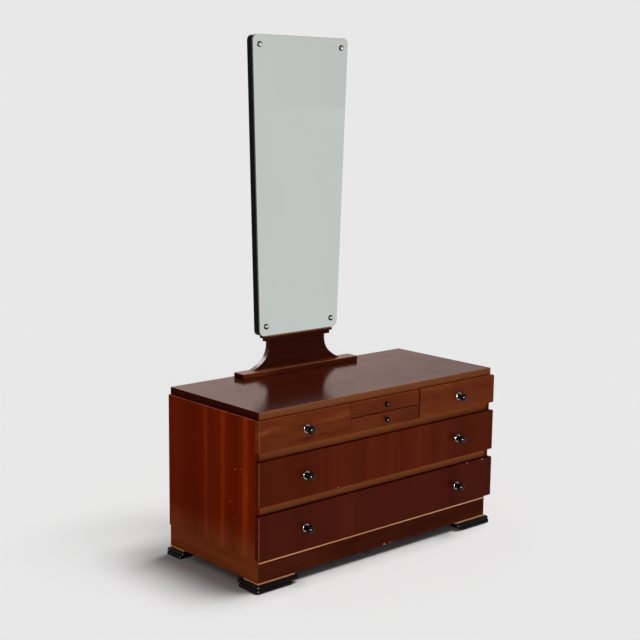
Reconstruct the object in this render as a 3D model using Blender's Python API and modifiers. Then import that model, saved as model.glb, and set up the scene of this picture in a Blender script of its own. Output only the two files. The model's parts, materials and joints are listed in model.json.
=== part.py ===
"""Dressing table: a low chest of six drawers with a tall tapered mirror on a flared stand.

Every piece of wood, glass and metal is its own object. The pieces of each drawer hang from an empty that
sits on the drawer's sliding axis. Lengths are metres. +X is the right hand of someone who faces the
drawers, +Y is the back and +Z is up. The origin is on the floor, in the middle of the whole object.
"""
import math

import bmesh
import bpy
from mathutils import Vector

# Fits between pieces
SEAT_GAP = 0.0003
DRAWER_SIDE_PLAY = 0.0010
DRAWER_TOP_PLAY = 0.0040
DRAWER_BACK_PLAY = 0.022
FRONT_STANDOFF = 0.0005
STEM_PLAY = 0.0004

# Chest
CHEST_WIDTH = 1.100
CHEST_DEPTH = 0.480
SIDE_THICK = 0.018
BACK_THICK = 0.008
BOTTOM_THICK = 0.018
TOP_THICK = 0.024
TOP_SIDE_INSET = 0.009
TOP_FRONT_SETBACK = 0.011
TOP_REVEAL = 0.002
BOARD_EDGE = 0.0012

# Rows of drawers
FRONT_THICK = 0.020
WIDE_FRONT_HEIGHT = 0.145
TOP_FRONT_HEIGHT = 0.101
ROW_GAP = 0.030
BOTTOM_REVEAL = 0.001
RAIL_LAP = 0.006
RAIL_THICK = 0.020
DUST_BOARD_THICK = 0.010

# Top row: two outer drawers, and two small ones stacked between them a little left of the middle
OUTER_FRONT_START = 0.1645
STACK_WIDTH = 0.318
STACK_SHIFT = -0.0035
STACK_GAP = 0.003
DIVIDER_X = 0.160
DIVIDER_THICK = 0.016
SHELF_THICK = 0.008

# Drawer boxes
BOX_WALL = 0.012
BOX_BOTTOM = 0.008
BOX_EDGE = 0.0010

# Knobs
KNOB_BALL = 0.0275
KNOB_STANDOFF = 0.0105
KNOB_STEM = 0.0100
KNOB_STEM_DEPTH = 0.014
COLLAR_WIDTH = 0.027
COLLAR_RIM = 0.0052
COLLAR_RIM_WIDTH = 0.0030
COLLAR_DISH = 0.0020
SMALL_BALL = 0.019
SMALL_STANDOFF = 0.001
SMALL_STEM = 0.0070
TURN_STEPS = 20
BALL_STEPS = 12
RIM_STEPS = 6

# Plinth and feet: the case sits a little off the middle of its plinth
PLINTH_HEIGHT = 0.0725
PLINTH_THICK = 0.018
PLINTH_INSET = 0.015
PLINTH_SHIFT = -0.010
PLINTH_SETBACK = 0.009
INLAY_HEIGHT = 0.004
INLAY_DEPTH = 0.003
INLAY_DROP = 0.0055
SPACER_THICK = 0.004
SPACER_PROUD = 0.0015
SPACER_LENGTH = 0.152
SPACER_DEPTH = 0.073
FOOT_HEIGHT = 0.0245
FOOT_PROUD = 0.016
FOOT_LENGTH = 0.156
FOOT_DEPTH = 0.088
FOOT_CORNER = 0.013
FOOT_BULLNOSE = 0.0050
FOOT_TIER_STEP = 0.002
FOOT_TIER_LAP = 0.0012
FOOT_END_STEP = 0.026
FOOT_SIDE_STEP = 0.010

# Stand: it is set a little left of the middle of the top and in from the back edge
STAND_SHIFT = -0.017
STAND_BACK_INSET = 0.0175
BASE_LENGTH = 0.539
BASE_DEPTH = 0.0525
BASE_HEIGHT = 0.018
BASE_EDGE = 0.002
NECK_WIDTH = 0.2566
NECK_THICK = 0.021
NECK_BACK_INSET = 0.002
NECK_HEIGHT = 0.0958
FLARE_END_INSET = 0.068
FLARE_POWER = 3.0
FLARE_STEPS = 14
CAP_TIER = 0.011
CAP_UPPER_WIDTH = 0.313
CAP_LOWER_WIDTH = 0.291
CAP_FRONT_LEDGE = 0.004
CAP_TIER_STEP = 0.004
CAP_TIER_LAP = 0.001
CAP_EDGE = 0.003

# Mirror
MIRROR_HEIGHT = 1.028
MIRROR_TOP_WIDTH = 0.4334
MIRROR_BOTTOM_WIDTH = 0.3608
MIRROR_CORNER = 0.020
GLASS_THICK = 0.006
BACKING_THICK = 0.0255
BACKING_INSET = 0.001
CORNER_STEPS = 6
SCREW_SIDE_INSET = 0.030
SCREW_END_INSET = 0.033
SCREW_HEAD = 0.020
SCREW_DOME = 0.0055
SCREW_RIM = 0.0012
SCREW_SHANK = 0.006
SCREW_BITE = 0.014

# Levels, from the floor up
SPACER_Z = FOOT_HEIGHT + SEAT_GAP
PLINTH_Z = SPACER_Z + SPACER_THICK + SEAT_GAP
PLINTH_TOP = PLINTH_Z + PLINTH_HEIGHT
CASE_Z = PLINTH_TOP + SEAT_GAP
LOW_Z = CASE_Z + BOTTOM_REVEAL
LOW_TOP = LOW_Z + WIDE_FRONT_HEIGHT
MID_Z = LOW_TOP + ROW_GAP
MID_TOP = MID_Z + WIDE_FRONT_HEIGHT
HIGH_Z = MID_TOP + ROW_GAP
HIGH_TOP = HIGH_Z + TOP_FRONT_HEIGHT
SLAB_Z = HIGH_TOP + TOP_REVEAL
SLAB_TOP = SLAB_Z + TOP_THICK
SMALL_FRONT_HEIGHT = (TOP_FRONT_HEIGHT - STACK_GAP) / 2
SMALL_SPLIT = HIGH_Z + TOP_FRONT_HEIGHT / 2

# Planes, measured back from the face of the drawer fronts
CASE_Y = FRONT_THICK + FRONT_STANDOFF
BACK_Y = CHEST_DEPTH - BACK_THICK
RAIL_BACK = CASE_Y + RAIL_THICK
HALF_WIDTH = CHEST_WIDTH / 2
INNER_X = HALF_WIDTH - SIDE_THICK
STAND_BACK = CHEST_DEPTH - STAND_BACK_INSET
PANEL_THICK = GLASS_THICK + SEAT_GAP + BACKING_THICK
GLASS_FRONT = STAND_BACK - PANEL_THICK
NECK_MIDDLE = STAND_BACK - NECK_BACK_INSET - NECK_THICK / 2

PLINTH_HALF = HALF_WIDTH - PLINTH_INSET

# The knobs stand in front of the drawers, and the left feet stand out beyond the case, so the middle of
# the whole object is not the middle of the case
FOOT_OUT = FOOT_PROUD + FOOT_TIER_STEP
LEFTMOST = min(-HALF_WIDTH, PLINTH_SHIFT - PLINTH_HALF - FOOT_OUT)
RIGHTMOST = max(HALF_WIDTH, PLINTH_SHIFT + PLINTH_HALF + FOOT_OUT)
CENTRE_X = -(LEFTMOST + RIGHTMOST) / 2
FACE_Y = (KNOB_STANDOFF + KNOB_BALL - CHEST_DEPTH) / 2


def linear(value):
    """One channel of a colour as the eye sees it, 0 to 255, as the light that it stands for."""
    share = value / 255
    if share <= 0.04045:
        return share / 12.92
    return ((share + 0.055) / 1.055) ** 2.4


def finish(name, colour, roughness, metallic=0.0):
    """A plain surface: colour in 0 to 255, roughness and metal share."""
    material = bpy.data.materials.new(name)
    material.use_nodes = True
    shader = material.node_tree.nodes["Principled BSDF"]
    shader.inputs["Base Color"].default_value = tuple(linear(c) for c in colour) + (1.0,)
    shader.inputs["Roughness"].default_value = roughness
    shader.inputs["Metallic"].default_value = metallic
    material.diffuse_color = shader.inputs["Base Color"].default_value
    return material


def make_finishes():
    """The surfaces of the object, by name."""
    return {
        "mahogany": finish("mahogany", (88, 34, 18), 0.28),
        "mahogany_side": finish("mahogany_side", (98, 34, 10), 0.30),
        "rail_wood": finish("rail_wood", (108, 62, 36), 0.38),
        "inlay_wood": finish("inlay_wood", (206, 150, 98), 0.40),
        "drawer_wood": finish("drawer_wood", (190, 150, 105), 0.60),
        "plywood": finish("plywood", (160, 120, 82), 0.65),
        "black_lacquer": finish("black_lacquer", (14, 13, 13), 0.12),
        "chrome": finish("chrome", (225, 225, 225), 0.08, 1.0),
        "mirror_silver": finish("mirror_silver", (205, 212, 207), 0.02, 1.0),
    }


def start_scene():
    """Empties the scene and makes one collection for the pieces and one for the cutting tools."""
    for old in list(bpy.data.objects):
        bpy.data.objects.remove(old, do_unlink=True)
    made = []
    for name in ("dressing_table", "cutters"):
        collection = bpy.data.collections.new(name)
        bpy.context.scene.collection.children.link(collection)
        made.append(collection)
    return made


PIECES, CUTTERS = start_scene()
FINISHES = make_finishes()


def anchor(name, place, parent=None):
    """An empty that carries pieces. The place is measured from the parent."""
    empty = bpy.data.objects.new(name, None)
    empty.empty_display_size = 0.05
    empty.location = place
    empty.parent = parent
    PIECES.objects.link(empty)
    return empty


CHEST = anchor("chest_axis", (CENTRE_X, FACE_Y, 0))


def add(name, mesh, surface, place, carrier=CHEST):
    """Puts a mesh into the model. The place is measured from the floor under the middle of the face."""
    piece = bpy.data.objects.new(name, mesh)
    offset = Vector((0, 0, 0)) if carrier is CHEST else carrier.location
    piece.parent = carrier
    piece.location = Vector(place) - offset
    if surface:
        mesh.materials.clear()
        mesh.materials.append(FINISHES[surface])
        PIECES.objects.link(piece)
    else:
        piece.hide_render = True
        piece.display_type = "WIRE"
        CUTTERS.objects.link(piece)
    return piece


def soften(piece, width, segments=2):
    """Rounds every sharp edge of a piece."""
    edge = piece.modifiers.new("edges", "BEVEL")
    edge.width = width
    edge.segments = segments
    edge.limit_method = "ANGLE"
    return piece


def box_mesh(name, size):
    """A box about its own middle."""
    shape = bmesh.new()
    bmesh.ops.create_cube(shape, size=1)
    bmesh.ops.scale(shape, vec=size, verts=shape.verts)
    mesh = bpy.data.meshes.new(name)
    shape.to_mesh(mesh)
    shape.free()
    return mesh


def board(name, low, high, surface, carrier=CHEST, edge=0.0):
    """A rectangular board between two corners."""
    low, high = Vector(low), Vector(high)
    piece = add(name, box_mesh(name, high - low), surface, (low + high) / 2, carrier)
    return soften(piece, edge) if edge else piece


def boolean(piece, tool, operation):
    """Cuts a piece with a tool, or joins the tool to it."""
    change = piece.modifiers.new(operation.lower(), "BOOLEAN")
    change.operation = operation
    change.object = tool
    change.solver = "EXACT"


def turned(name, profile, surface, place, carrier=CHEST):
    """A piece turned about an axis that points out of the front. The profile holds radius and reach."""
    shape = bmesh.new()
    points = [shape.verts.new((radius, 0, reach)) for radius, reach in profile]
    for first, second in zip(points, points[1:]):
        shape.edges.new((first, second))
    if profile[0][0] > 0:
        shape.edges.new((points[-1], points[0]))
    mesh = bpy.data.meshes.new(name)
    shape.to_mesh(mesh)
    shape.free()
    piece = add(name, mesh, surface, place, carrier)
    piece.rotation_euler = (math.pi / 2, 0, 0)
    turn = piece.modifiers.new("turn", "SCREW")
    turn.axis = "Z"
    turn.steps = TURN_STEPS
    turn.render_steps = TURN_STEPS
    turn.use_merge_vertices = True
    turn.merge_threshold = 0.00001
    turn.use_smooth_shade = True
    return piece


def arc(centre, radius, start, end, steps):
    """Points on an arc. Angles are degrees."""
    points = []
    for step in range(steps + 1):
        angle = math.radians(start + (end - start) * step / steps)
        points.append((centre[0] + radius * math.cos(angle), centre[1] + radius * math.sin(angle)))
    return points


def drill(name, holes, width, depth, back, carrier=CHEST):
    """A tool of round bits that reach from the plane given by back towards the front."""
    shape = bmesh.new()
    for x, z in holes:
        made = bmesh.ops.create_cone(shape, cap_ends=True, segments=TURN_STEPS,
                                     radius1=width / 2, radius2=width / 2, depth=depth)
        bmesh.ops.translate(shape, verts=made["verts"], vec=(x, z, depth / 2))
    mesh = bpy.data.meshes.new(name)
    shape.to_mesh(mesh)
    shape.free()
    tool = add(name, mesh, None, (0, back, 0), carrier)
    tool.rotation_euler = (math.pi / 2, 0, 0)
    return tool


def plate(name, outline, thickness, surface, place):
    """A flat outline in the X and Z directions, given a thickness about its middle plane."""
    drawing = bpy.data.curves.new(name, "CURVE")
    drawing.dimensions = "2D"
    drawing.fill_mode = "BOTH"
    drawing.extrude = thickness / 2
    line = drawing.splines.new("POLY")
    line.points.add(len(outline) - 1)
    for point, (x, z) in zip(line.points, outline):
        point.co = (x, z, 0, 1)
    line.use_cyclic_u = True
    sketch = bpy.data.objects.new(name + "_sketch", drawing)
    PIECES.objects.link(sketch)
    ready = sketch.evaluated_get(bpy.context.evaluated_depsgraph_get())
    mesh = bpy.data.meshes.new_from_object(ready)
    mesh.name = name
    bpy.data.objects.remove(sketch, do_unlink=True)
    shape = bmesh.new()
    shape.from_mesh(mesh)
    bmesh.ops.remove_doubles(shape, verts=shape.verts, dist=0.00001)
    shape.to_mesh(mesh)
    shape.free()
    piece = add(name, mesh, surface, place)
    piece.rotation_euler = (math.pi / 2, 0, 0)
    return piece


def make_case():
    """The carcass: sides, bottom, back, top, rails, dust boards and what divides the top row."""
    side_top = SLAB_Z - SEAT_GAP
    for name, sign in (("side_panel_left", -1), ("side_panel_right", 1)):
        edges = sorted((sign * HALF_WIDTH, sign * INNER_X))
        board(name, (edges[0], CASE_Y, CASE_Z), (edges[1], CHEST_DEPTH, side_top), "mahogany_side",
              edge=BOARD_EDGE)
    inner = INNER_X - SEAT_GAP
    board("bottom_board", (-inner, CASE_Y, CASE_Z),
          (inner, BACK_Y - SEAT_GAP, CASE_Z + BOTTOM_THICK), "plywood")
    board("back_panel", (-inner, BACK_Y, CASE_Z), (inner, CHEST_DEPTH, side_top), "plywood")
    top_half = HALF_WIDTH - TOP_SIDE_INSET
    board("top_panel", (-top_half, TOP_FRONT_SETBACK, SLAB_Z), (top_half, CHEST_DEPTH, SLAB_TOP),
          "mahogany", edge=BOARD_EDGE)
    for level, below, above in (("lower", LOW_TOP, MID_Z), ("upper", MID_TOP, HIGH_Z)):
        rail_top = above + RAIL_LAP
        board("rail_" + level, (-inner, CASE_Y, below - RAIL_LAP), (inner, RAIL_BACK, rail_top),
              "rail_wood")
        board("dust_board_" + level, (-inner, RAIL_BACK + SEAT_GAP, rail_top - DUST_BOARD_THICK),
              (inner, BACK_Y - SEAT_GAP, rail_top), "plywood")


def make_top_row_dividers():
    """Two upright dividers in the top row and the shelf that the upper small drawer runs on."""
    low = HIGH_Z + RAIL_LAP + SEAT_GAP
    high = SLAB_Z - SEAT_GAP
    for name, x in (("divider_left", -DIVIDER_X), ("divider_right", DIVIDER_X)):
        board(name, (x - DIVIDER_THICK / 2, CASE_Y, low),
              (x + DIVIDER_THICK / 2, BACK_Y - SEAT_GAP, high), "rail_wood")
    reach = DIVIDER_X - DIVIDER_THICK / 2 - SEAT_GAP
    board("small_drawer_shelf", (-reach, CASE_Y, SMALL_SPLIT - SHELF_THICK / 2),
          (reach, BACK_Y - SEAT_GAP, SMALL_SPLIT + SHELF_THICK / 2), "rail_wood")


def mitred_board(name, half_length, outer, inward, surface):
    """A plinth board whose ends are cut at 45 degrees at the front corners.

    The board lies along X with its outer face at the plane outer, and inward is its thickness."""
    shape = bmesh.new()
    bmesh.ops.create_cube(shape, size=1)
    bmesh.ops.scale(shape, vec=(2 * half_length, inward, PLINTH_HEIGHT), verts=shape.verts)
    for vert in shape.verts:
        if vert.co.y > 0:
            vert.co.x -= math.copysign(inward, vert.co.x)
    mesh = bpy.data.meshes.new(name)
    shape.to_mesh(mesh)
    shape.free()
    return add(name, mesh, surface, (PLINTH_SHIFT, outer + inward / 2, PLINTH_Z + PLINTH_HEIGHT / 2))


def mitred_end_cut(low, high):
    """How much the inlay stops short of the plinth's ends, so that it stays clear of the mitre."""
    return Vector((high.y - low.y + SEAT_GAP, 0, 0))


def make_plinth():
    """The recessed frame under the case, with a light line let into its front."""
    front = mitred_board("plinth_front", PLINTH_HALF, PLINTH_SETBACK, PLINTH_THICK, "mahogany")
    for name, sign in (("plinth_left", -1), ("plinth_right", 1)):
        side = board(name, (-PLINTH_THICK / 2, PLINTH_SETBACK, PLINTH_Z),
                     (PLINTH_THICK / 2, CHEST_DEPTH, PLINTH_TOP), "mahogany_side")
        side.location.x = PLINTH_SHIFT + sign * (PLINTH_HALF - PLINTH_THICK / 2)
        mitre_gap = SEAT_GAP * math.sqrt(2)
        for vert in side.data.vertices:
            if vert.co.y < 0:
                outside = vert.co.x * sign > 0
                vert.co.y += mitre_gap + (0 if outside else PLINTH_THICK)
    inner = PLINTH_HALF - PLINTH_THICK - SEAT_GAP
    board("plinth_back", (PLINTH_SHIFT - inner, CHEST_DEPTH - PLINTH_THICK, PLINTH_Z),
          (PLINTH_SHIFT + inner, CHEST_DEPTH, PLINTH_TOP), "plywood")
    inlay_top = PLINTH_TOP - INLAY_DROP
    low = Vector((PLINTH_SHIFT - PLINTH_HALF, PLINTH_SETBACK, inlay_top - INLAY_HEIGHT))
    high = Vector((PLINTH_SHIFT + PLINTH_HALF, PLINTH_SETBACK + INLAY_DEPTH, inlay_top))
    trim = mitred_end_cut(low, high)
    board("plinth_inlay", low + trim, high - trim, "inlay_wood")
    past = Vector((INLAY_DEPTH, 0, SEAT_GAP))
    groove = board("groove_tool", low - past - Vector((0, INLAY_DEPTH, 0)),
                   high + past + Vector((0, SEAT_GAP, 0)), None)
    boolean(front, groove, "DIFFERENCE")


def foot_tier(name, corner_a, corner_b, low, high, round_corner, surface):
    """One layer of a foot: a slab with bullnose edges, and at the front one big round corner in plan."""
    x0, x1 = sorted((corner_a[0], corner_b[0]))
    y0, y1 = sorted((corner_a[1], corner_b[1]))
    shape = bmesh.new()
    bmesh.ops.create_cube(shape, size=1)
    bmesh.ops.scale(shape, vec=(x1 - x0, y1 - y0, high - low), verts=shape.verts)
    if round_corner:
        uprights = [e for e in shape.edges if abs(e.verts[0].co.z - e.verts[1].co.z) > (high - low) / 2]
        outer = [e for e in uprights
                 if e.verts[0].co.x * round_corner[0] > 0 and e.verts[0].co.y * round_corner[1] > 0]
        bmesh.ops.bevel(shape, geom=outer, offset=FOOT_CORNER, offset_type="OFFSET",
                        segments=CORNER_STEPS, profile=0.5, affect="EDGES")
    mesh = bpy.data.meshes.new(name)
    shape.to_mesh(mesh)
    shape.free()
    piece = add(name, mesh, surface, ((x0 + x1) / 2, (y0 + y1) / 2, (low + high) / 2))
    return soften(piece, FOOT_BULLNOSE, 3)


def make_foot(name, sign, at_back):
    """A black foot of two bullnose layers under one corner of the plinth, with a light spacer on it."""
    corner_x = PLINTH_SHIFT + sign * PLINTH_HALF
    corner_y = CHEST_DEPTH if at_back else PLINTH_SETBACK
    inward_y = -1 if at_back else 1
    proud_y = 0 if at_back else 1
    split = FOOT_HEIGHT / 2
    upper_out = (corner_x + sign * FOOT_PROUD, corner_y - proud_y * FOOT_PROUD)
    upper_in = (corner_x - sign * FOOT_LENGTH, corner_y + inward_y * FOOT_DEPTH)
    round_corner = None if at_back else (sign, -1)
    upper = foot_tier("foot_" + name, upper_out, upper_in, split - FOOT_TIER_LAP / 2, FOOT_HEIGHT,
                      round_corner, "black_lacquer")
    lower_out = (upper_out[0] + sign * FOOT_TIER_STEP, upper_out[1] - proud_y * FOOT_TIER_STEP)
    lower_in = (upper_in[0] + sign * FOOT_END_STEP, upper_in[1] - inward_y * FOOT_SIDE_STEP)
    lower = foot_tier("foot_tier_tool_" + name, lower_out, lower_in, 0, split + FOOT_TIER_LAP / 2,
                      round_corner, None)
    boolean(upper, lower, "UNION")
    outer = Vector((corner_x + sign * SPACER_PROUD, corner_y - proud_y * SPACER_PROUD, SPACER_Z))
    spacer_top = SPACER_Z + SPACER_THICK
    inner = Vector((corner_x - sign * SPACER_LENGTH, corner_y + inward_y * SPACER_DEPTH, spacer_top))
    low = Vector(min(a, b) for a, b in zip(outer, inner))
    high = Vector(max(a, b) for a, b in zip(outer, inner))
    board("foot_spacer_" + name, low, high, "inlay_wood", edge=BOARD_EDGE)


def flare_outline():
    """The neck seen from the front: upright at the top, and swept out more and more towards its foot."""
    end = BASE_LENGTH / 2 - FLARE_END_INSET
    half = NECK_WIDTH / 2
    right = []
    for step in range(FLARE_STEPS + 1):
        down = step / FLARE_STEPS
        right.append((half + (end - half) * down ** FLARE_POWER, NECK_HEIGHT * (1 - down)))
    return [(-x, z) for x, z in reversed(right)] + right


def make_stand():
    """The base bar, the flared neck and the two-tier cap that carry the mirror."""
    base_z = SLAB_TOP + SEAT_GAP
    half = BASE_LENGTH / 2
    board("stand_base", (STAND_SHIFT - half, STAND_BACK - BASE_DEPTH, base_z),
          (STAND_SHIFT + half, STAND_BACK, base_z + BASE_HEIGHT), "mahogany", edge=BASE_EDGE)
    neck_z = base_z + BASE_HEIGHT + SEAT_GAP
    plate("stand_neck", flare_outline(), NECK_THICK, "mahogany", (STAND_SHIFT, NECK_MIDDLE, neck_z))
    cap_z = neck_z + NECK_HEIGHT + SEAT_GAP
    cap_top = cap_z + 2 * CAP_TIER
    upper_half, lower_half = CAP_UPPER_WIDTH / 2, CAP_LOWER_WIDTH / 2
    front = GLASS_FRONT - CAP_FRONT_LEDGE
    upper = board("stand_cap", (STAND_SHIFT - upper_half, front, cap_z + CAP_TIER),
                  (STAND_SHIFT + upper_half, STAND_BACK, cap_top), "mahogany", edge=CAP_EDGE)
    lower_top = cap_z + CAP_TIER + CAP_TIER_LAP
    lower = board("cap_tier_tool", (STAND_SHIFT - lower_half, front + CAP_TIER_STEP, cap_z),
                  (STAND_SHIFT + lower_half, STAND_BACK - CAP_TIER_STEP, lower_top), None)
    boolean(upper, lower, "UNION")
    return cap_top + SEAT_GAP


def rounded(corners, radius):
    """A convex outline, given anticlockwise, with an arc at each corner."""
    outline = []
    count = len(corners)
    for index, corner in enumerate(corners):
        here = Vector(corner)
        back = (Vector(corners[index - 1]) - here).normalized()
        ahead = (Vector(corners[(index + 1) % count]) - here).normalized()
        half_angle = back.angle(ahead) / 2
        centre = here + (back + ahead).normalized() * radius / math.sin(half_angle)
        first = here + back * radius / math.tan(half_angle) - centre
        start = math.degrees(math.atan2(first.y, first.x))
        outline += arc(centre, radius, start, start + 180 - 2 * math.degrees(half_angle), CORNER_STEPS)
    return outline


def mirror_outline(inset):
    """The tapered mirror seen from the front, from its lower edge up, drawn in by the inset."""
    low, high = MIRROR_BOTTOM_WIDTH / 2 - inset, MIRROR_TOP_WIDTH / 2 - inset
    top = MIRROR_HEIGHT - inset
    return rounded([(-low, inset), (low, inset), (high, top), (-high, top)], MIRROR_CORNER - inset)


def mirror_half_width(height):
    """Half the width of the mirror at a height above its lower edge."""
    share = height / MIRROR_HEIGHT
    return (MIRROR_BOTTOM_WIDTH * (1 - share) + MIRROR_TOP_WIDTH * share) / 2


def screw_profile():
    """A domed mirror screw: the head, and a shank that goes through the glass into the backing."""
    dome = arc((0, 0), 1, 90, 0, RIM_STEPS)
    head = [(SCREW_HEAD / 2 * x, SCREW_RIM + (SCREW_DOME - SCREW_RIM) * z) for x, z in dome]
    end = -(GLASS_THICK + 2 * SEAT_GAP + SCREW_BITE)
    return head + [(SCREW_HEAD / 2, 0), (SCREW_SHANK / 2, 0), (SCREW_SHANK / 2, end), (0, end)]


def make_mirror(mirror_z):
    """The black backing board, the mirror glass in front of it and the four screws that hold it."""
    backing_y = STAND_BACK - BACKING_THICK / 2
    backing = plate("mirror_backing", mirror_outline(BACKING_INSET), BACKING_THICK, "black_lacquer",
                    (STAND_SHIFT, backing_y, mirror_z - BACKING_INSET))
    glass = plate("mirror_glass", mirror_outline(0), GLASS_THICK, "mirror_silver",
                  (STAND_SHIFT, GLASS_FRONT + GLASS_THICK / 2, mirror_z))
    holes = []
    for level, height in (("lower", SCREW_END_INSET), ("upper", MIRROR_HEIGHT - SCREW_END_INSET)):
        reach = mirror_half_width(height) - SCREW_SIDE_INSET
        for side, x in (("left", STAND_SHIFT - reach), ("right", STAND_SHIFT + reach)):
            holes.append((x, mirror_z + height))
            turned("mirror_screw_" + level + "_" + side, screw_profile(), "chrome",
                   (x, GLASS_FRONT - SEAT_GAP, mirror_z + height))
    pilot_back = GLASS_FRONT + GLASS_THICK + SCREW_BITE + 4 * SEAT_GAP
    tool = drill("mirror_drill", holes, SCREW_SHANK + 2 * STEM_PLAY,
                 pilot_back - GLASS_FRONT + SCREW_HEAD, pilot_back)
    boolean(backing, tool, "DIFFERENCE")
    boolean(glass, tool, "DIFFERENCE")


def ball_profile(ball, standoff, stem):
    """A turned knob: a ball that stands off the drawer front, on a stem that is glued into it."""
    radius = ball / 2
    neck = math.degrees(math.asin(stem / ball))
    round_part = arc((0, standoff + radius), radius, 90, neck - 90, BALL_STEPS)
    round_part[0] = (0, standoff + ball)
    return round_part + [(stem / 2, -KNOB_STEM_DEPTH), (0, -KNOB_STEM_DEPTH)]


def collar_profile():
    """A dished chrome ring with a rounded rim, open in the middle for the knob's stem."""
    hole = KNOB_STEM / 2 + STEM_PLAY
    rim = COLLAR_RIM_WIDTH / 2
    crest = arc((COLLAR_WIDTH / 2 - rim, COLLAR_RIM - rim), rim, 180, 0, RIM_STEPS)
    return [(hole, COLLAR_DISH)] + crest + [(COLLAR_WIDTH / 2, SEAT_GAP), (hole, SEAT_GAP)]


def box_tray(name, low, high, carrier):
    """An open drawer box with even walls and a thinner bottom."""
    low, high = Vector(low), Vector(high)
    size = high - low
    shape = bmesh.new()
    bmesh.ops.create_cube(shape, size=1)
    bmesh.ops.scale(shape, vec=size, verts=shape.verts)
    lid = [f for f in shape.faces if f.normal.z > 0.5]
    bmesh.ops.inset_region(shape, faces=lid, thickness=BOX_WALL, use_even_offset=True)
    sunk = bmesh.ops.extrude_discrete_faces(shape, faces=lid)["faces"]
    floor_corners = [v for f in sunk for v in f.verts]
    bmesh.ops.translate(shape, verts=floor_corners, vec=(0, 0, BOX_BOTTOM - size.z))
    mesh = bpy.data.meshes.new(name)
    shape.to_mesh(mesh)
    shape.free()
    return soften(add(name, mesh, "drawer_wood", (low + high) / 2, carrier), BOX_EDGE, 1)


def make_drawer(name, front_x, front_z, bay_x, bay_z, knobs, small=False):
    """One drawer: the front, the box behind it and its knobs, carried by an empty on its sliding axis.

    Each pair holds a low and a high value, of the front and of the bay that the box runs in."""
    middle = ((front_x[0] + front_x[1]) / 2, 0, (front_z[0] + front_z[1]) / 2)
    axis = anchor("drawer_" + name + "_axis", middle, CHEST)
    front = board("drawer_front_" + name, (front_x[0], 0, front_z[0]),
                  (front_x[1], FRONT_THICK, front_z[1]), "mahogany", axis, BOARD_EDGE)
    box_front = FRONT_THICK + SEAT_GAP
    box_tray("drawer_box_" + name, (bay_x[0] + DRAWER_SIDE_PLAY, box_front, bay_z[0] + SEAT_GAP),
             (bay_x[1] - DRAWER_SIDE_PLAY, BACK_Y - DRAWER_BACK_PLAY, bay_z[1] - DRAWER_TOP_PLAY), axis)
    ball, standoff, stem = KNOB_BALL, KNOB_STANDOFF, KNOB_STEM
    if small:
        ball, standoff, stem = SMALL_BALL, SMALL_STANDOFF, SMALL_STEM
    for side, x in knobs:
        place = (x, 0, middle[2])
        label = name + "_" + side if side else name
        turned("knob_" + label, ball_profile(ball, standoff, stem), "black_lacquer", place, axis)
        if not small:
            turned("knob_collar_" + label, collar_profile(), "chrome", place, axis)
    hole_back = KNOB_STEM_DEPTH + SEAT_GAP
    holes = [(x, middle[2]) for _, x in knobs]
    tool = drill("knob_drill_" + name, holes, stem + 2 * STEM_PLAY, hole_back + ball, hole_back)
    boolean(front, tool, "DIFFERENCE")


def make_drawers():
    """Two wide drawers, and above them an outer drawer at each end and two small ones in the middle."""
    knob_x = (HALF_WIDTH + OUTER_FRONT_START) / 2
    pair = (("left", -knob_x), ("right", knob_x))
    full, inside = (-HALF_WIDTH, HALF_WIDTH), (-INNER_X, INNER_X)
    make_drawer("bottom", full, (LOW_Z, LOW_TOP), inside,
                (CASE_Z + BOTTOM_THICK, LOW_TOP - RAIL_LAP), pair)
    make_drawer("middle", full, (MID_Z, MID_TOP), inside,
                (MID_Z + RAIL_LAP, MID_TOP - RAIL_LAP), pair)
    high = (HIGH_Z, HIGH_TOP)
    high_bay = (HIGH_Z + RAIL_LAP, SLAB_Z)
    divider_out = DIVIDER_X + DIVIDER_THICK / 2
    make_drawer("left", (-HALF_WIDTH, -OUTER_FRONT_START), high, (-INNER_X, -divider_out), high_bay,
                (("", -knob_x),))
    make_drawer("right", (OUTER_FRONT_START, HALF_WIDTH), high, (divider_out, INNER_X), high_bay,
                (("", knob_x),))
    stack = (STACK_SHIFT - STACK_WIDTH / 2, STACK_SHIFT + STACK_WIDTH / 2)
    divider_in = DIVIDER_X - DIVIDER_THICK / 2
    bay = (-divider_in, divider_in)
    make_drawer("small_lower", stack, (HIGH_Z, HIGH_Z + SMALL_FRONT_HEIGHT), bay,
                (HIGH_Z + RAIL_LAP, SMALL_SPLIT - SHELF_THICK / 2), (("", STACK_SHIFT),), small=True)
    make_drawer("small_upper", stack, (HIGH_TOP - SMALL_FRONT_HEIGHT, HIGH_TOP), bay,
                (SMALL_SPLIT + SHELF_THICK / 2, SLAB_Z), (("", STACK_SHIFT),), small=True)


make_case()
make_top_row_dividers()
make_plinth()
for foot_name, foot_sign, foot_at_back in (("front_left", -1, False), ("front_right", 1, False),
                                           ("back_left", -1, True), ("back_right", 1, True)):
    make_foot(foot_name, foot_sign, foot_at_back)
make_mirror(make_stand())
make_drawers()
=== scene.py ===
"""Looks of the dressing table: lacquered mahogany, black gloss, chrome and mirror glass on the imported
solids, in a plain pale studio, with the camera at the photograph's angle. Lengths are metres."""
import json
import math
from typing import NamedTuple

import bmesh
import bpy
from mathutils import Matrix, Vector

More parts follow.
